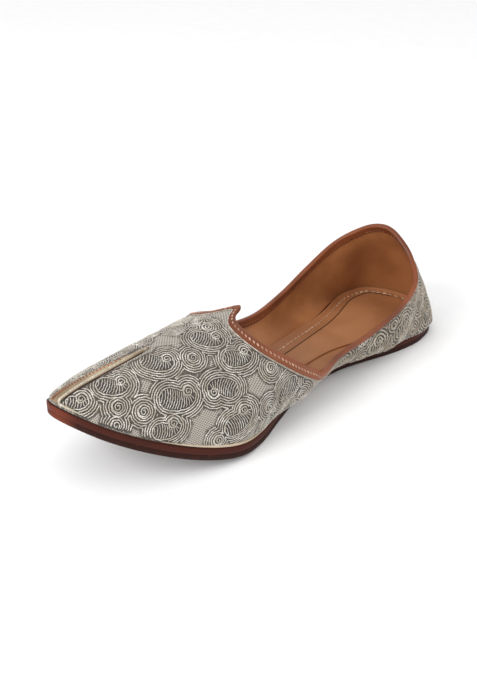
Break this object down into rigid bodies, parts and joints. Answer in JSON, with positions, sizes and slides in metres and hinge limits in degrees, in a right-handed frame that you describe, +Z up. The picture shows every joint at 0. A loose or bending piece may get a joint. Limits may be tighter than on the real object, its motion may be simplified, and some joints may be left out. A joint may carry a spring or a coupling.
{
  "type": "mojari shoe",
  "caption": "Left mojari: slip-on leather shoe with an upturned pointed toe, woven brocade upper, low open sides, beaked throat, folded leather binding and a flat stitched sole.",
  "frame": {"origin": "on the floor under the middle of the shoe's bounding box", "axes": "+X towards the toe, +Y towards the outer side of the left foot, +Z up"},
  "size_m": [0.2866, 0.0858, 0.0703],
  "materials": {
    "outsole_leather": "waxed edge",
    "insole_leather": "satin",
    "sock_leather": "satin",
    "brocade": "woven, slight metallic sheen",
    "binding_leather": "satin",
    "seam_fabric": "woven"
  },
  "bodies": {
    "root": {"outsole": "outsole_leather", "insole": "insole_leather", "sock": "sock_leather", "upper": "brocade", "collar_binding": "binding_leather", "toe_seam": "seam_fabric"}
  },
  "joints": []
}
